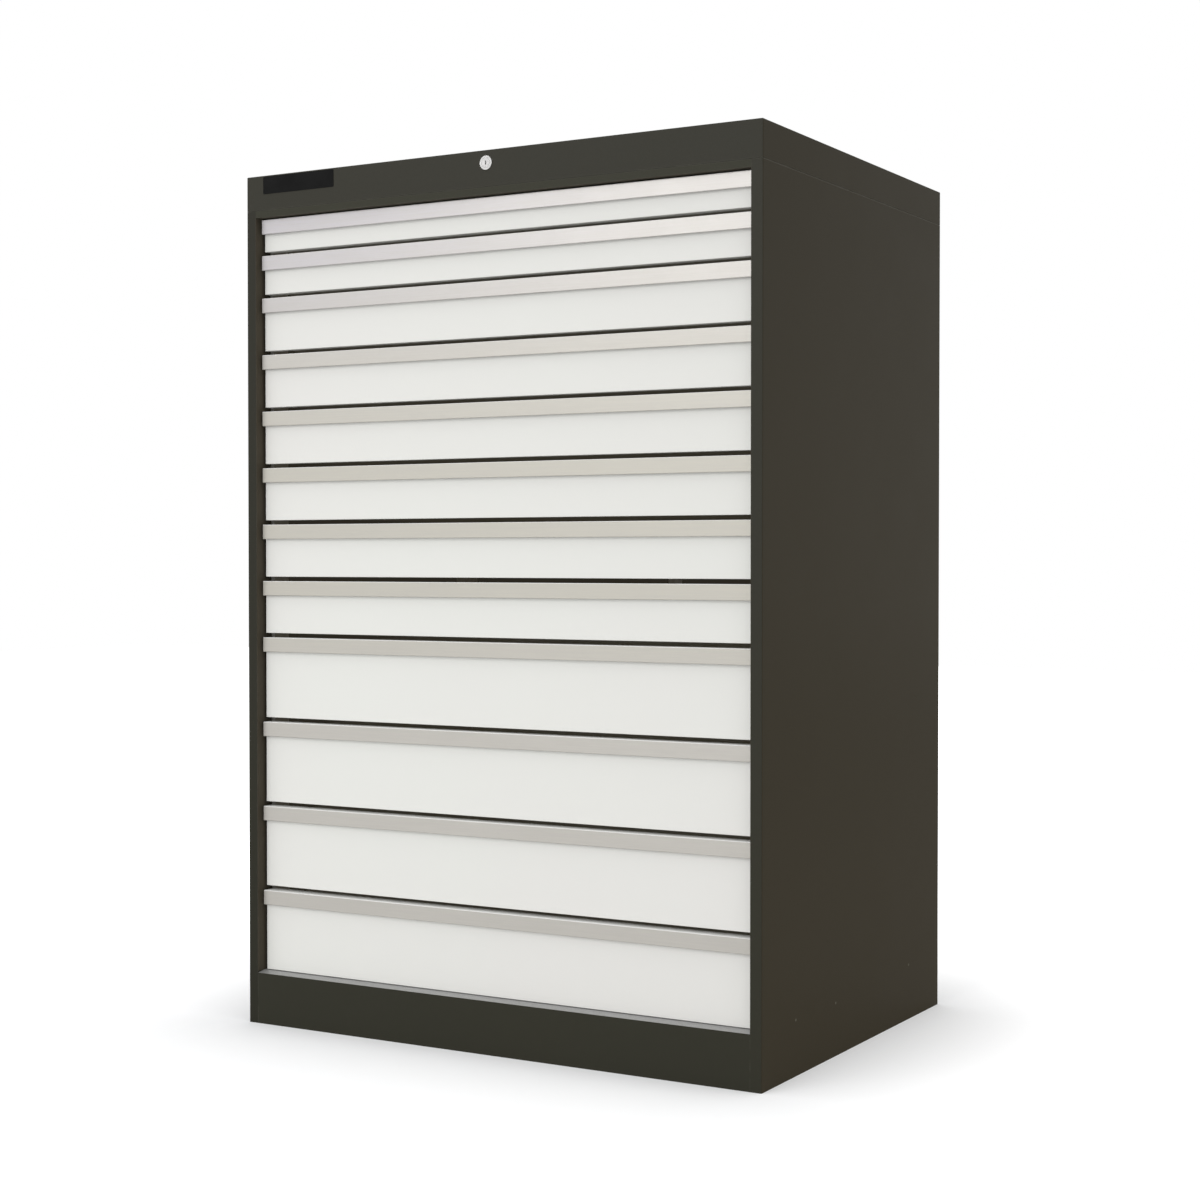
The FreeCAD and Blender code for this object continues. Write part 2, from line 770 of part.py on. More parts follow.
def handle(name, low, height):
    """The full-width handle: a finger lip, a top and a rear leg over the tray's front wall."""
    body = new_body(f"drawer_{name}_handle", low + height)
    lip_back = handle_face + S["handle_lip"]
    leg_front = tray_front + S["tray_sheet"] + S["handle_fit"]
    leg_back = leg_front + S["handle_hook_wall"]
    section = [
        (handle_face, -S["handle_height"]),
        (handle_face, ZERO),
        (leg_back, ZERO),
        (leg_back, -S["handle_hook"]),
        (leg_front, -S["handle_hook"]),
        (leg_front, -S["handle_top"]),
        (lip_back, -S["handle_top"]),
        (lip_back, -S["handle_height"]),
    ]
    pad_x(body, section, front_half * 2)
    lip_ends = (ZERO, -S["handle_height"])
    dress_edges(
        body,
        "Chamfer",
        S["handle_edge"],
        lambda p: near(p.y, handle_face) and any(near(p.z, end) for end in lip_ends),
        along=ACROSS,
    )
    return body


# Lock: the plug turns a rod, whose crank at the rear lifts the bar with its catches.
lug_top = S["tray_rise"] + S["lug_rise"]
bar_front = tray_back + S["lug_reach"] + S["lug_sheet"] + S["catch_gap"]
bar_back = bar_front + S["bar_sheet"]
crank_front = bar_front - S["crank_gap"] - S["crank_sheet"]
plug_back = face + S["barrel_length"] + S["plug_tail"]


def lock_barrel():
    """The lock's barrel with its flange."""
    body = new_body("lock_barrel")
    middle = (ZERO, lock_height)
    disc_y(body, "Pad", middle, S["lock_radius"], face - S["lock_proud"], S["lock_proud"])
    disc_y(body, "Pad", middle, S["barrel_radius"], face, S["barrel_length"])
    bore = S["plug_radius"] + S["turning_gap"]
    start = face - S["lock_proud"]
    disc_y(body, "Pocket", middle, bore, start, S["barrel_length"] + S["lock_proud"])
    return body


def lock_plug():
    """The plug that the key turns, with its keyway."""
    body = new_body("lock_plug")
    middle = (ZERO, lock_height)
    start = face - S["lock_proud"]
    disc_y(body, "Pad", middle, S["plug_radius"], start, plug_back - start)
    keyway = new_sketch(body, "XZ_Plane", -start)
    half_width = S["key_width"] / 2
    half_height = S["key_height"] / 2
    rectangle(keyway, -half_width, half_width, lock_height - half_height, lock_height + half_height)
    extrude(body, "Pocket", keyway, S["key_depth"])
    return body


def lock_rod():
    """The rod from the plug to the rear, with its crank and pin."""
    body = new_body("lock_rod")
    middle = (ZERO, lock_height)
    disc_y(body, "Pad", middle, S["rod_radius"], plug_back, crank_front - plug_back)
    half = S["rod_radius"]
    foot = lock_height - S["crank_reach"] - S["pin_radius"]
    arm = box_corners(-half, half, foot, lock_height + half)
    pad_y(body, [arm], crank_front, S["crank_sheet"])
    pin_start = crank_front + S["crank_sheet"]
    pin = (ZERO, lock_height - S["crank_reach"])
    disc_y(body, "Pad", pin, S["pin_radius"], pin_start, bar_back + S["pin_end"] - pin_start)
    return body


def flat_bar():
    """The sliding bar with the window of the crank pin."""
    body = new_body("flat_bar")
    half = S["bar_width"] / 2
    pin_height = lock_height - S["crank_reach"]
    window_low = pin_height - S["pin_radius"] - S["turning_gap"] - S["pin_lead"]
    window_top = pin_height + S["pin_radius"] + S["turning_gap"]
    window_left = -S["crank_reach"] - S["pin_radius"] - S["turning_gap"]
    window_right = S["pin_radius"] + S["turning_gap"]
    sketch = new_sketch(body, "XZ_Plane", -bar_front)
    rectangle(sketch, -half, half, ledge + S["bar_lift"], window_top + S["bar_rim"])
    rectangle(sketch, window_left, window_right, window_low, window_top)
    extrude(body, "Pad", sketch, S["bar_sheet"], backward=True)
    return body


def catch():
    """An angled catch on the bar, whose lip rises in front of a tray's lug."""
    body = new_body("catch")
    lip_back = tray_back + S["lug_reach"] - S["catch_play"]
    lip_front = lip_back - S["catch_sheet"]
    lip_top = lug_top - S["lug_sheet"] - S["lug_drop"] - S["catch_clear"]
    arm_top = lip_top - S["catch_height"]
    arm_low = arm_top - S["catch_sheet"]
    section = [
        (lip_front, arm_low),
        (bar_front, arm_low),
        (bar_front, arm_top),
        (lip_back, arm_top),
        (lip_back, lip_top),
        (lip_front, lip_top),
    ]
    pad_x(body, section, S["catch_width"])
    return body


def lock_bar():
    """The lock's bar with a catch below the lug of each tray."""
    bar = flat_bar()
    shape = catch()
    catches = [group("catch_" + name, [shape], low) for name, low, height in DRAWERS]
    return group("lock_bar", [bar] + catches)


def build():
    """Every node of the cabinet."""
    right = side_panel()
    nodes = [right, mirror_x("side_panel_left", right)]
    nodes += [back_panel(), top_panel(), header_rail(), base_frame()]
    nodes += [slotted_uprights(), fixed_rails()]
    nodes += [lock_barrel(), lock_plug(), lock_rod(), lock_bar()]
    nodes += trays()
    carriages = carriage_pair()
    for name, low, height in DRAWERS:
        nodes.append(front(name, low, height))
        nodes.append(handle(name, low, height))
        nodes.append(group("carriage_" + name, carriages, low))
    doc.recompute()
    return nodes


def check(nodes):
    """Stop on any object that failed, or any node without a sound solid."""
    for item in doc.Objects:
        if "Invalid" in item.State or "Error" in item.State:
            raise RuntimeError(f"{item.Label} failed: {item.State}")
    for node in nodes:
        if node.Shape.isNull() or not node.Shape.isValid() or not node.Shape.Solids:
            raise RuntimeError(f"{node.Label} has no sound solid")


def write(nodes):
    """One STEP file for each node."""
    os.makedirs("parts", exist_ok=True)
    for node in nodes:
        node.Shape.exportStep(f"parts/{node.Label}.step")


NODES = build()
check(NODES)
write(NODES)
print(len(NODES), "nodes,", sum(len(node.Shape.Solids) for node in NODES), "solids")
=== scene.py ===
import json
import math

import bmesh
import bpy
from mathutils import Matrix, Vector


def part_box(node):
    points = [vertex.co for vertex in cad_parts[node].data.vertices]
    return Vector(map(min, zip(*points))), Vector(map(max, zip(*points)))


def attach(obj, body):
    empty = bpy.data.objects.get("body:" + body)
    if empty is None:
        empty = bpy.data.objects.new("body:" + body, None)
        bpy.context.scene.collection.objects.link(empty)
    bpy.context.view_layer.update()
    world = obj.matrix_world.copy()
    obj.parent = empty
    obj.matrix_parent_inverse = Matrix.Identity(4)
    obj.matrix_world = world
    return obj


# A steel drawer cabinet: twelve light grey drawers in a dark housing, in soft studio light.
# Lengths are metres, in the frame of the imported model.

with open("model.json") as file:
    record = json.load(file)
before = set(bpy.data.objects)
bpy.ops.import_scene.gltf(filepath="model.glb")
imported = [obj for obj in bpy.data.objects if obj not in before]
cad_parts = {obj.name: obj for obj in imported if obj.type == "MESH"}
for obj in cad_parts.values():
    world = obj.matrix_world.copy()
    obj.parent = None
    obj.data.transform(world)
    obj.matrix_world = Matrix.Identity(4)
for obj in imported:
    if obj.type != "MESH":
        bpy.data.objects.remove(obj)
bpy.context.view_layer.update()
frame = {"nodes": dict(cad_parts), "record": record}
NODES = frame["nodes"]

MM = 0.001

# The cabinet's main edges and levels

side_low, side_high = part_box("side_panel_right")
header_low, header_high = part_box("header_rail")
lock_low, lock_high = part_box("lock_barrel")
face = side_low.y
rear = side_high.y
half_width = side_high.x
side_top = side_high.z
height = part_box("top_panel")[1].z
header_bottom = header_low.z
opening = header_high.x
sill_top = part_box("base_frame")[1].z
lock_centre = (0.0, 0.0, (lock_low.z + lock_high.z) / 2)

# Three small flush fixings low on each side: depth from the front, and height
FIXINGS = [(0.126, 0.0905), (0.284, 0.0886), (0.608, 0.0979)]
FIXING_RADIUS = 2.2 * MM

# The sill's rise to the lowest front, the seam below the top, and the bands beside edges that carry painted
# light
SILL_RISE = 3.4 * MM
SEAM = 0.6 * MM
SEAM_BAND = 0.8 * MM
SKIN = 0.5 * MM
HAIR = 0.3 * MM
UNDER_RISE = 0.1 * MM

# The bare plate on the header: its edges, corner radius, and steps as inset and height over the header
PLATE = (-467.5 * MM, -313.7 * MM, 1467.5 * MM, 1497.8 * MM)
PLATE_RADIUS = 2.0 * MM
PLATE_STEPS = [
    (0.0, 0.0), (0.0, 0.6 * MM), (0.3 * MM, 0.9 * MM), (1.0 * MM, 0.9 * MM), (1.3 * MM, 0.6 * MM)
]

# The faint stray light in the gaps between the drawers: its colour, its strength on the trays and inside the
# housing, and how far behind the front it starts there
STRAY = (0.0105, 0.009, 0.0065)
STRAY_ON_TRAYS = 1.0
STRAY_INSIDE = 2.0
STRAY_DEPTH = 60.0 * MM

# The housing's tones where it differs from its plain paint: mostly painted light and shade, besides the
# header strip and the fixings
# Painted light: the housing paler towards the top, where more light falls
HOUSING_LIGHT_HIGH = (0.047, 0.0455, 0.038)
# Painted light: the flanks' warm tone, darker higher up, stands in for the light on the sides
FLANK_LIGHT_LOW = (0.0495, 0.0395, 0.024)
FLANK_LIGHT_HIGH = (0.036, 0.030, 0.0195)
STRIP_TONE = (0.049, 0.0485, 0.0375)
# Painted light: the stiles' inner returns lifted out of their shade
RETURN_LIGHT_TONE = (0.08, 0.068, 0.05)
SHADE_TONE = (0.006, 0.006, 0.005)
# Painted light: the header's underside lifted out of its shade
UNDERSIDE_LIGHT_TONE = (0.085, 0.076, 0.058)
# Painted highlight: a paler line along the seam on the flanks
SEAM_HIGHLIGHT_TONE = (0.085, 0.08, 0.065)
# Painted light: the front's band at the joint below the top made paler to lift the groove's shade
JOINT_LIGHT_TONE = (0.062, 0.060, 0.050)
FIXING_TONE = (0.13, 0.12, 0.095)
# Painted reflection and painted light: the sill's top pale grey, also in the shaded gap under the lowest
# front
SILL_REFLECTION_TONE = (0.32, 0.32, 0.318)

# How much of the flanks' painted light and of the left stile's painted shade shows
FLANK_LIGHT_SHARE = 0.85
SHADE_SHARE = 0.22

# Mirror shine: the housing's paint, its sill, the fronts and trays, the plate, and plain surfaces
HOUSING_SHINE = 0.015
SILL_SHINE = 1.0
PAINT_SHINE = 0.3
PLATE_SHINE = 0.06
PLAIN_SHINE = 0.5

# The fronts' painted shade at the top, where more light falls, and how much of it shows there
FRONT_SHADE_HIGH = (0.60, 0.60, 0.578)
FRONT_SHADE_SHARE = 0.5

# The handles' painted light: a painted highlight on their upper faces, and painted reflections in the top
# rows at the left and in the middle rows
HANDLE_TOP_HIGHLIGHT = (0.74, 0.74, 0.725)
HANDLE_SHEEN_HIGH = (0.55, 0.53, 0.555)
HANDLE_SHEEN_MIDDLE = (0.55, 0.53, 0.47)

# Where the handles' painted reflections begin and are full, in height and across
HIGH_LEVELS = (1.15, 1.38)
HIGH_ACROSS = (-0.45, 0.35)
HIGH_AT_RIGHT = 0.3
MIDDLE_FROM = (0.55, 0.75)
MIDDLE_TO = (1.0, 1.2)

# Marks of the finishes, as noise per metre
PAINT_DRIFT = 1.7
PAINT_HAZE = 9.0
PAINT_RUB = 55.0
PAINT_PEEL = 420.0
PAINT_FLECK = 1400.0
HANDLE_DRIFT = 3.0
HANDLE_TOUCH = 14.0
HANDLE_LINES = 900.0
ZINC_PATCH = 130.0
ZINC_LINES = 700.0
NICKEL_MARKS = 260.0
NICKEL_RINGS = 16000.0
PLASTIC_DRIFT = 20.0
PLASTIC_GRAIN = 1800.0

# The part of a noise's range over which a mark goes from none to full: wide and soft, or narrow
SOFT = (0.3, 0.7)
EVEN = (0.35, 0.65)
NARROW = (0.4, 0.6)
RUB_RANGE = (0.42, 0.62)

# How far a rounded edge's direction agrees with its face's, from no edge to a full one
EDGE_RANGE = (0.995, 0.90)

# The floor: its tone to the camera and in other light, and its size
FLOOR_SEEN = (0.77, 0.775, 0.785)
FLOOR_LIT = (0.62, 0.62, 0.62)
FLOOR_REACH = 12.0

# The floor's glow, weakest at the cabinet's outline so that it paints a soft shadow round it: at the
# outline, more at its sides, its rise per metre ahead, behind and aside, and how far from a corner the
# sides' share is halved
GLOW_START = 0.145
GLOW_SIDES = 0.055
GLOW_AHEAD = 0.3
GLOW_BEHIND = 0.8
GLOW_ASIDE = 0.85
GLOW_TURN = 0.02

# How strong the white surroundings are as light
WORLD_LEVEL = 0.8

# The camera: its place from the middle, the front and the floor, its turn, dip and field, and its range
CAMERA_ASIDE = 1.8961
CAMERA_AHEAD = 2.9069
CAMERA_LEVEL = 0.8245
CAMERA_TURN = math.radians(30.01)
CAMERA_DIP = math.radians(1.11)
CAMERA_FIELD = math.radians(32.0)
CAMERA_RANGE = (0.05, 60.0)


# View

def make_camera():
    """The photograph's view: three quarters from the right, a little above the middle of the cabinet."""
    data = bpy.data.cameras.new("camera")
    data.lens_unit = "FOV"
    data.angle = CAMERA_FIELD
    data.clip_start, data.clip_end = CAMERA_RANGE
    camera = bpy.data.objects.new("camera", data)
    camera.location = (CAMERA_ASIDE, face - CAMERA_AHEAD, CAMERA_LEVEL)
    camera.rotation_euler = (math.pi / 2 - CAMERA_DIP, 0.0, CAMERA_TURN)
    bpy.context.scene.collection.objects.link(camera)
    bpy.context.scene.camera = camera


# Node materials

def opaque(tone):
    """A tone as a socket takes it."""
    return (*tone, 1.0)


def scaled(tone, share):
    """A darker or paler tone."""
    return tuple(min(1.0, part * share) for part in tone)


class Nodes:
    """A node tree, with short calls for the nodes that go into it."""

    def __init__(self, tree):
        self.tree = tree

    def feed(self, socket, value):
        """Link a socket, or set its value."""
        if isinstance(value, bpy.types.NodeSocket):
            self.tree.links.new(value, socket)
        else:
            socket.default_value = value

    def feed_all(self, made, inputs):
        """Feed a node's sockets by their names, with _ for a space."""
        for key, value in inputs.items():
            self.feed(made.inputs[key.replace("_", " ")], value)

    def node(self, kind, settings=None, **inputs):
        """A node with its settings, fed by its sockets' names."""
        made = self.tree.nodes.new(kind)
        for key, value in (settings or {}).items():
            setattr(made, key, value)
        self.feed_all(made, inputs)
        return made

    def row(self, kind, settings, *values):
        """The outputs of a node that is fed in its sockets' order."""
        made = self.node(kind, settings)
        for socket, value in zip(made.inputs, values):
            self.feed(socket, value)
        return made.outputs

    def math(self, operation, *values):
        """A number worked out from others."""
        return self.row("ShaderNodeMath", {"operation": operation}, *values)[0]

    def vector(self, operation, *values):
        """What comes of a sum with vectors."""
        return self.row("ShaderNodeVectorMath", {"operation": operation}, *values)

    def choice(self, factor, first, second):
        """A surface or a light between two."""
        return self.row("ShaderNodeMixShader", None, factor, first, second)[0]

    def end(self, name, value):
        """Feed the tree's last node."""
        self.feed(self.tree.nodes[name].inputs["Surface"], value)


class Look(Nodes):
    """A material, with short calls for the marks and places that its finish is made of."""

    def __init__(self, name, roughness, metallic=0.0, specular=PLAIN_SHINE):
        self.material = bpy.data.materials.new(name)
        self.material.use_nodes = True
        super().__init__(self.material.node_tree)
        self.shader = self.tree.nodes["Principled BSDF"]
        self.show(Roughness=roughness, Metallic=metallic, Specular_IOR_Level=specular)
        self.place = self.node("ShaderNodeTexCoord").outputs["Object"]

    def show(self, **inputs):
        """Feed the surface's own sockets."""
        self.feed_all(self.shader, inputs)

    def product(self, first, *others):
        """Values multiplied. Of masks, this is 1 where all of them are 1."""
        for other in others:
            first = self.math("MULTIPLY", first, other)
        return first

    def span(self, value, low, high, to_low=0.0, to_high=1.0):
        """A value taken from one range to another, and held inside it."""
        made = self.node(
            "ShaderNodeMapRange", Value=value, From_Min=low, From_Max=high, To_Min=to_low, To_Max=to_high
        )
        return made.outputs[0]

    def blend(self, factor, first, second):
        """A colour between two colours."""
        made = self.node("ShaderNodeMix", {"data_type": "RGBA"}, Factor=factor)
        for name, value in (("A", first), ("B", second)):
            socket = [item for item in made.inputs if item.name == name and item.type == "RGBA"][0]
            self.feed(socket, value if isinstance(value, bpy.types.NodeSocket) else opaque(value))
        return [item for item in made.outputs if item.type == "RGBA"][0]

    def noise(self, scale, detail=2.0, stretch=(1.0, 1.0, 1.0)):
        """Noise over the object's own place, stretched along its axes."""
        mapping = self.node("ShaderNodeMapping", Vector=self.place, Scale=stretch)
        made = self.node("ShaderNodeTexNoise", Vector=mapping.outputs[0], Scale=scale, Detail=detail)
        return made.outputs[0]

    def normal(self):
        """The direction that a face looks to."""
        return self.node("ShaderNodeNewGeometry").outputs["Normal"]

    def edges(self, radius):
        """How near a place is to a sharp outer or inner edge, from 0 to 1."""
        soft = self.node("ShaderNodeBevel", {"samples": 6}, Radius=radius).outputs[0]
        return self.span(self.vector("DOT_PRODUCT", soft, self.normal())["Value"], *EDGE_RANGE)

    def upward(self):
        """1 on faces that look up, 0 on all others."""
        return self.span(self.node("ShaderNodeSeparateXYZ", Vector=self.normal()).outputs["Z"], 0.5, 0.7)

    def axis(self, letter):
        """One coordinate of a place."""
        return self.node("ShaderNodeSeparateXYZ", Vector=self.place).outputs[letter]

    def below(self, value, level):
        """1 below a level, 0 from there on."""
        return self.math("LESS_THAN", value, level)

    def between(self, value, low, high):
        """1 between two levels, 0 beyond them."""
        return self.math("COMPARE", value, (low + high) / 2, (high - low) / 2)

    def reach(self, centre, axes):
        """How far a place is from a point, along the axes that are 1."""
        apart = self.vector("SUBTRACT", self.place, centre)[0]
        return self.vector("LENGTH", self.vector("MULTIPLY", apart, axes)[0])["Value"]

    def bump(self, relief, strength, distance):
        """Relief from a height."""
        made = self.node("ShaderNodeBump", Height=relief, Strength=strength, Distance=distance)
        self.show(Normal=made.outputs[0])

    def stray(self, strength):
        """The faint stray light in the gaps between the drawers."""
        self.show(Emission_Color=opaque(STRAY), Emission_Strength=strength)


def powder_coat(name, tone, drift, worn, roughness, specular, wear, tint=None, stray=None):
    """Powder coat: a fine orange peel, a slow drift of tone and edges rubbed paler."""
    look = Look(name, roughness, specular=specular)
    colour = look.blend(look.span(look.noise(PAINT_DRIFT, 3.0), *EVEN), tone, drift)
    if tint:
        colour = tint(look, colour)
    if stray:
        look.stray(stray)
    fleck = look.span(look.noise(PAINT_FLECK), *NARROW)
    colour = look.blend(look.product(0.35, fleck), colour, scaled(tone, 0.93))
    rub = look.span(look.noise(PAINT_RUB, 5.0), *RUB_RANGE)
    rubbed = look.product(look.edges(1.2 * MM), rub, wear)
    haze = look.span(look.noise(PAINT_HAZE, 4.0), *SOFT, roughness - 0.02, roughness + 0.03)
    look.show(
        Base_Color=look.blend(rubbed, colour, worn),
        Roughness=look.math("ADD", haze, look.product(0.03, fleck)),
    )
    look.bump(look.math("ADD", look.noise(PAINT_PEEL), look.product(0.25, fleck)), 0.10, 0.25 * MM)
    return look.material


def housing_tints(look, colour):
    """The housing's tones: painted light higher up, on the flanks, in the opening's inner returns, under the
    header and at the seam and joint below the top; painted shade on the left stile; a painted reflection on
    the sill; a yellower strip at the header's foot and the fixings' tone.
    """
    across, deep, level = [look.axis(letter) for letter in "XYZ"]
    aside = look.math("ABSOLUTE", across)
    risen = look.span(level, 0.0, height)
    on_flank = look.math("GREATER_THAN", aside, half_width - SKIN)
    in_opening = look.below(aside, opening)
    at_drawers = look.between(level, sill_top, header_bottom)
    at_front = look.below(deep, face + SKIN)

    strip = look.product(look.between(level, header_bottom, side_top), in_opening)
    # Painted light in the stiles' inner returns, which lie in shade
    lit_returns = look.product(look.between(aside, opening - HAIR, opening + HAIR), at_drawers)
    shade = look.product(SHADE_SHARE, look.below(across, -opening - HAIR), look.below(level, side_top))
    # Painted light under the header
    lit_underside = look.product(look.between(level, header_bottom - MM, header_bottom + UNDER_RISE), in_opening)
    # Painted highlight along the flank seam
    seam_highlight = look.product(look.between(level, side_top - MM, side_top), on_flank)
    # Painted light at the front joint below the top
    lit_joint = look.product(look.between(level, side_top - SEAM_BAND, side_top + SEAM + SEAM_BAND), at_front)
    # Painted reflection on the sill's top
    sill = look.product(look.upward(), look.between(level, sill_top - SILL_RISE, sill_top + HAIR))
    tints = [
        # Painted light: paler higher up
        (risen, HOUSING_LIGHT_HIGH),
        # Painted light on the flanks
        (look.product(FLANK_LIGHT_SHARE, on_flank), look.blend(risen, FLANK_LIGHT_LOW, FLANK_LIGHT_HIGH)),
        (strip, STRIP_TONE),
        (lit_returns, RETURN_LIGHT_TONE),
        (shade, SHADE_TONE),
        (lit_underside, UNDERSIDE_LIGHT_TONE),
        (seam_highlight, SEAM_HIGHLIGHT_TONE),
        (lit_joint, JOINT_LIGHT_TONE),
    ]
    for depth, fixing_level in FIXINGS:
        away = look.reach((0.0, face + depth, fixing_level), (0.0, 1.0, 1.0))
        tints.append((look.below(away, FIXING_RADIUS), FIXING_TONE))
    tints.append((sill, SILL_REFLECTION_TONE))
    for mask, tone in tints:
        colour = look.blend(mask, colour, tone)

    inside_sides = look.below(aside, half_width - SKIN)
    inside_ends = look.between(deep, face + STRAY_DEPTH, rear - SKIN)
    look.stray(look.product(STRAY_INSIDE, inside_sides, at_drawers, inside_ends))
    look.show(Specular_IOR_Level=look.span(sill, 0.0, 1.0, HOUSING_SHINE, SILL_SHINE))
    return colour


def front_painted_shade(look, colour):
    """Painted shade: the fronts a little darker towards the top, where more light falls."""
    return look.blend(look.span(look.axis("Z"), 0.0, height, 0.0, FRONT_SHADE_SHARE), colour, FRONT_SHADE_HIGH)


def handle_painted_reflections(look, colour):
    """Painted reflections on the handles: a little violet at the top, more at the left, a little straw in
    the middle rows.
    """
    level = look.axis("Z")
    leftwards = look.span(look.axis("X"), *HIGH_ACROSS, 1.0, HIGH_AT_RIGHT)
    high = look.product(look.span(level, *HIGH_LEVELS), leftwards)
    middle = look.product(look.span(level, *MIDDLE_FROM), look.span(level, *MIDDLE_TO, 1.0, 0.0))
    return look.blend(middle, look.blend(high, colour, HANDLE_SHEEN_HIGH), HANDLE_SHEEN_MIDDLE)


def drawn_metal(name, tone, drift, roughness, metallic):
    """Satin metal with fine lines along X, touched patches that are smoother, and a painted highlight on the
    upper faces, which are matt.
    """
    look = Look(name, roughness, metallic)
    lines = look.noise(HANDLE_LINES, 3.0, stretch=(0.012, 1.0, 1.0))
    colour = look.blend(look.span(look.noise(HANDLE_DRIFT, 3.0), *EVEN), tone, drift)
    # Painted reflections on the handles
    colour = handle_painted_reflections(look, colour)
    colour = look.blend(look.product(0.4, look.span(lines, *NARROW)), colour, scaled(tone, 0.90))
    colour = look.blend(look.product(0.5, look.edges(0.8 * MM)), colour, scaled(tone, 1.25))
    # Painted highlight: the upper faces pale and matt, as if lit from above
    top_face = look.upward()
    look.show(
        Base_Color=look.blend(top_face, colour, HANDLE_TOP_HIGHLIGHT),
        Metallic=look.span(top_face, 0.0, 1.0, metallic, 0.0),
        Specular_IOR_Level=look.span(top_face, 0.0, 1.0, PLAIN_SHINE, 0.0),
        Roughness=look.span(look.noise(HANDLE_TOUCH, 4.0), *EVEN, roughness - 0.015, roughness + 0.02),
    )
    look.bump(lines, 0.12, 0.1 * MM)
    return look.material


def zinc_plate(name, tone, drift, roughness):
    """Zinc-plated steel: soft patches, fine rolling lines and rubbed edges."""
    look = Look(name, roughness, metallic=0.9)
    look.stray(STRAY_INSIDE)
    patch = look.node("ShaderNodeTexVoronoi", {"feature": "F1"}, Vector=look.place, Scale=ZINC_PATCH)
    spread = look.span(patch.outputs["Distance"], 0.1, 0.8)
    lines = look.noise(ZINC_LINES, stretch=(1.0, 0.02, 1.0))
    colour = look.blend(look.product(0.5, spread), tone, drift)
    colour = look.blend(look.product(0.25, lines), colour, drift)
    look.show(
        Base_Color=look.blend(look.product(0.6, look.edges(0.8 * MM)), colour, scaled(tone, 1.2)),
        Roughness=look.span(spread, 0.0, 1.0, roughness - 0.05, roughness + 0.1),
    )
    look.bump(look.math("ADD", lines, look.product(0.3, spread)), 0.08, 0.1 * MM)
    return look.material


def turned_nickel(name, tone, drift, worn, roughness, centre):
    """Nickel turned about the lock's axis, with fine rings."""
    look = Look(name, roughness, metallic=1.0)
    away = look.reach(centre, (1.0, 0.0, 1.0))
    rings = look.math("SINE", look.product(away, NICKEL_RINGS))
    marks = look.noise(NICKEL_MARKS, 4.0)
    colour = look.blend(look.span(marks, *EVEN), tone, drift)
    look.show(
        Base_Color=look.blend(look.product(0.4, look.edges(0.5 * MM)), colour, worn),
        Roughness=look.span(marks, *SOFT, roughness - 0.05, roughness + 0.08),
    )
    look.bump(look.math("ADD", look.product(0.4, rings), marks), 0.08, 0.05 * MM)
    return look.material


def moulded(name, tone, drift, roughness):
    """Moulded plastic with a fine grain."""
    look = Look(name, roughness, specular=PLATE_SHINE)
    grain = look.noise(PLASTIC_GRAIN)
    look.show(
        Base_Color=look.blend(look.span(look.noise(PLASTIC_DRIFT, 3.0), *EVEN), tone, drift),
        Roughness=look.span(grain, *SOFT, roughness - 0.05, roughness + 0.08),
    )
    look.bump(grain, 0.15, 0.06 * MM)
    return look.material


# Meshes

def rounded(left, right, low, high, radius, steps=6):
    """The points of a rounded rectangle, anticlockwise from its lower right corner."""
    points = []
    corners = [(right, low, -90), (right, high, 0), (left, high, 90), (left, low, 180)]
    for x, z, start in corners:
        centre_x = x - radius if x == right else x + radius
        centre_z = z - radius if z == high else z + radius
        for step in range(steps + 1):
            angle = math.radians(start + 90 * step / steps)
            points.append((centre_x + radius * math.cos(angle), centre_z + radius * math.sin(angle)))
    return points


def bare_plate(material):
    """The plate at the left of the header, with a raised rim and nothing on it."""
    mesh = bmesh.new()
    left, right, low, high = PLATE
    loops = []
    for inset, proud in PLATE_STEPS:
        ring = rounded(left + inset, right - inset, low + inset, high - inset, PLATE_RADIUS - inset)
        loops.append([mesh.verts.new((x, face - proud, z)) for x, z in ring])
    for outer, inner in zip(loops, loops[1:]):
        for start in range(len(outer)):
            after = (start + 1) % len(outer)
            mesh.faces.new((outer[start], outer[after], inner[after], inner[start]))
    mesh.faces.new(loops[-1])
    bmesh.ops.recalc_face_normals(mesh, faces=mesh.faces)
    data = bpy.data.meshes.new("bare_plate")
    mesh.to_mesh(data)
    mesh.free()
    data.materials.append(material)
    piece = bpy.data.objects.new("bare_plate", data)
    bpy.context.scene.collection.objects.link(piece)
    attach(piece, "cabinet")


# Studio

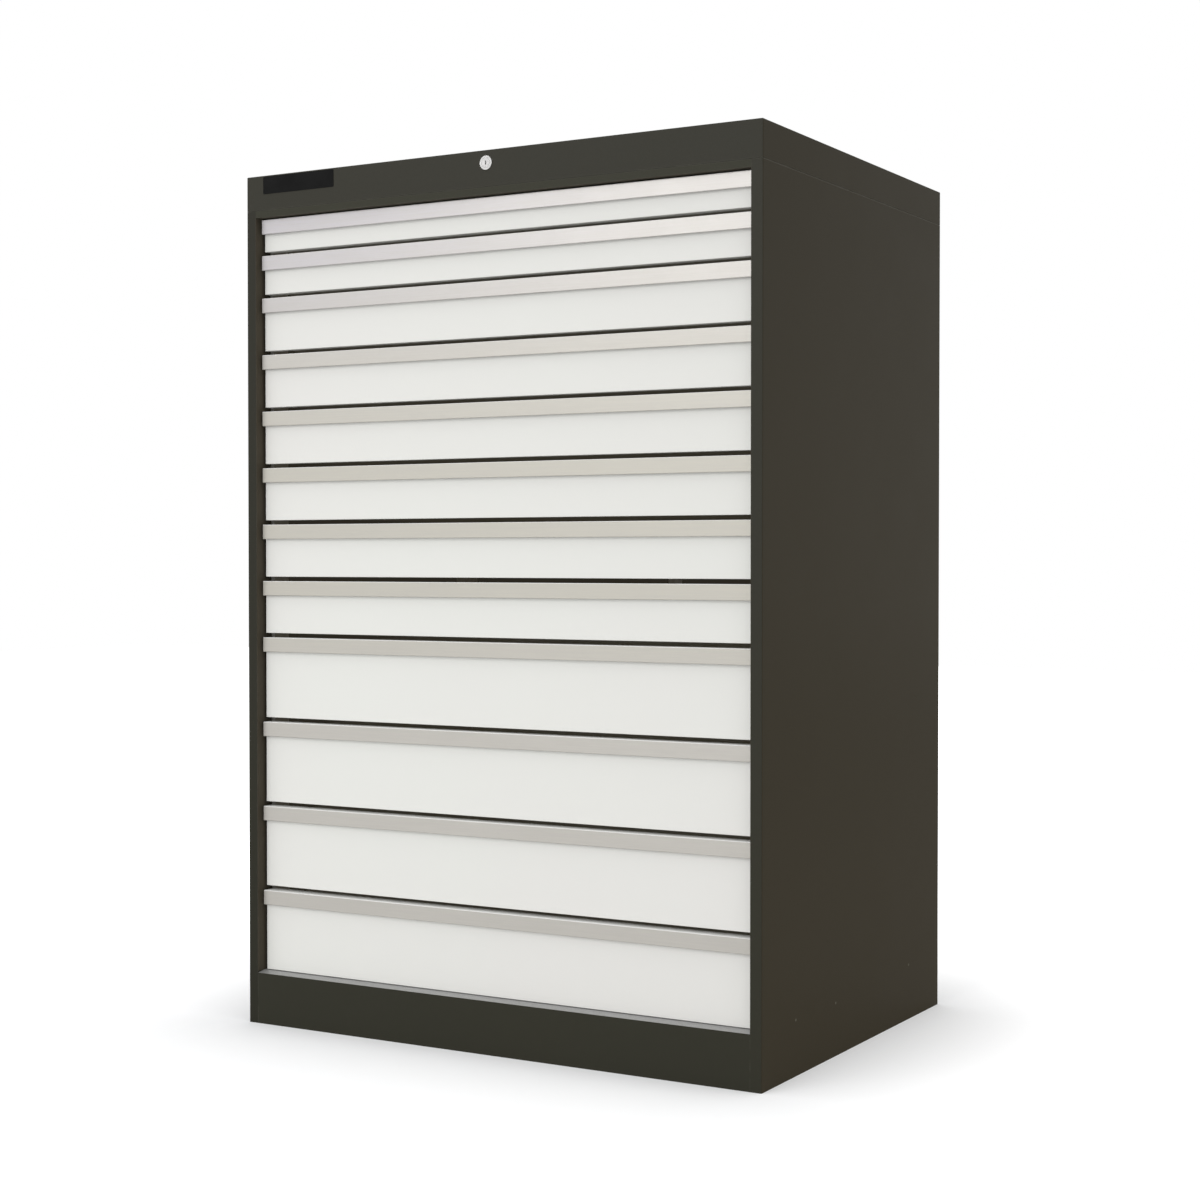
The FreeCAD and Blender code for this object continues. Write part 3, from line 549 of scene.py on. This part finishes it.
def floor_look():
    """White to the camera but for the cabinet's soft shadow, partly real in the pale diffuse part and partly
    painted by a glow that is weaker near the cabinet, and a plain pale floor in all other light.
    """
    look = Look("floor", 0.9, specular=0.1)
    look.show(Base_Color=opaque(FLOOR_LIT))
    deep = look.axis("Y")
    across = look.math("ABSOLUTE", look.axis("X"))
    aside = look.math("MAXIMUM", look.math("SUBTRACT", across, half_width), 0.0)
    ahead = look.math("MAXIMUM", look.math("SUBTRACT", face, deep), 0.0)
    behind = look.math("MAXIMUM", look.math("SUBTRACT", deep, rear), 0.0)
    # Painted shadow: the glow is weakest at the cabinet's outline and rises away from it
    share = look.math("DIVIDE", aside, look.math("ADD", look.math("ADD", aside, ahead), GLOW_TURN))
    at_sides = look.product(share, look.math("MULTIPLY_ADD", aside, GLOW_ASIDE, GLOW_SIDES))
    outwards = look.math("MULTIPLY_ADD", ahead, GLOW_AHEAD, GLOW_START)
    outwards = look.math("MULTIPLY_ADD", behind, GLOW_BEHIND, outwards)
    strength = look.math("MINIMUM", look.math("ADD", outwards, at_sides), 1.0)
    glow = look.node("ShaderNodeEmission", Strength=strength).outputs[0]
    pale = look.node("ShaderNodeBsdfDiffuse", Color=opaque(FLOOR_SEEN)).outputs[0]
    seen = look.row("ShaderNodeAddShader", None, pale, glow)[0]
    to_camera = look.node("ShaderNodeLightPath").outputs["Is Camera Ray"]
    look.end("Material Output", look.choice(to_camera, look.shader.outputs[0], seen))
    return look.material


def make_floor():
    """A pale floor, far wider than the view."""
    data = bpy.data.meshes.new("floor")
    corners = [(x * FLOOR_REACH, y * FLOOR_REACH, 0.0) for x, y in ((-1, -1), (1, -1), (1, 1), (-1, 1))]
    data.from_pydata(corners, [], [(0, 1, 2, 3)])
    data.materials.append(floor_look())
    floor = bpy.data.objects.new("floor", data)
    bpy.context.scene.collection.objects.link(floor)


def make_world():
    """White where the camera or a mirror sees it, and a softer level as light."""
    world = bpy.data.worlds.new("studio")
    world.use_nodes = True
    nodes = Nodes(world.node_tree)
    light = world.node_tree.nodes["Background"]
    nodes.feed_all(light, {"Color": (1.0, 1.0, 1.0, 1.0), "Strength": WORLD_LEVEL})
    white = nodes.node("ShaderNodeBackground", Color=(1.0, 1.0, 1.0, 1.0), Strength=1.0)
    path = nodes.node("ShaderNodeLightPath").outputs
    seen = path["Is Camera Ray"]
    for other in ("Is Glossy Ray", "Is Transmission Ray"):
        seen = nodes.math("MAXIMUM", seen, path[other])
    nodes.end("World Output", nodes.choice(seen, light.outputs[0], white.outputs[0]))
    bpy.context.scene.world = world


def make_lamp(name, place, target, size, power, tone=(1.0, 1.0, 1.0), gleam=False):
    """A large soft lamp aimed at a point. Only one that gleams shows in glossy surfaces."""
    data = bpy.data.lights.new(name, "AREA")
    data.shape = "RECTANGLE"
    data.size, data.size_y = size
    data.energy = power
    data.color = tone
    lamp = bpy.data.objects.new(name, data)
    lamp.location = place
    lamp.rotation_euler = (Vector(target) - Vector(place)).to_track_quat("-Z", "Y").to_euler()
    lamp.visible_glossy = gleam
    bpy.context.scene.collection.objects.link(lamp)


make_camera()
make_floor()
make_world()
make_lamp("overhead", (0.2, -0.1, 4.2), (0.0, 0.0, 1.0), (3.5, 3.5), 48.0)
make_lamp("front_key", (-1.2, -4.5, 0.9), (0.0, face, 0.7), (3.0, 1.4), 44.0)
make_lamp("side_fill", (4.6, 0.6, 1.6), (half_width, 0.0, 0.7), (2.5, 2.0), 28.0, tone=(1.0, 0.95, 0.82))
make_lamp("gleam", (-0.7, -3.4, 2.35), (0.2, face, 1.25), (2.4, 1.1), 19.0, gleam=True)
bpy.context.scene.view_settings.view_transform = "Standard"

# Each finish by its slot: its tone, the tone it drifts to, and for paint and nickel the tone of worn edges
FINISH = {
    "housing": powder_coat(
        "housing_paint", (0.036, 0.0355, 0.027), (0.038, 0.037, 0.0275), (0.10, 0.095, 0.08),
        roughness=0.30, specular=HOUSING_SHINE, wear=0.5, tint=housing_tints,
    ),
    "front_paint": powder_coat(
        "front_paint", (0.77, 0.775, 0.74), (0.77, 0.76, 0.735), (0.84, 0.84, 0.82),
        roughness=0.38, specular=PAINT_SHINE, wear=0.4, tint=front_painted_shade,
    ),
    "tray_paint": powder_coat(
        "tray_paint", (0.61, 0.62, 0.59), (0.59, 0.595, 0.57), (0.75, 0.75, 0.73),
        roughness=0.42, specular=PAINT_SHINE, wear=0.4, stray=STRAY_ON_TRAYS,
    ),
    "handle_metal": drawn_metal(
        "handle_metal", (0.565, 0.545, 0.505), (0.55, 0.53, 0.49), roughness=0.36, metallic=0.5
    ),
    "galvanised": zinc_plate("galvanised", (0.60, 0.61, 0.62), (0.48, 0.49, 0.51), roughness=0.38),
    "lock_metal": turned_nickel(
        "lock_metal", (0.46, 0.455, 0.45), (0.43, 0.425, 0.42), (0.9, 0.89, 0.86),
        roughness=0.36, centre=lock_centre,
    ),
}
for entry in frame["record"]["subparts"]:
    node = NODES[entry["node"]]
    node.data.materials.clear()
    node.data.materials.append(FINISH[entry["material_slot"]])

bare_plate(moulded("plate_plastic", (0.006, 0.006, 0.006), (0.009, 0.009, 0.009), roughness=0.5))
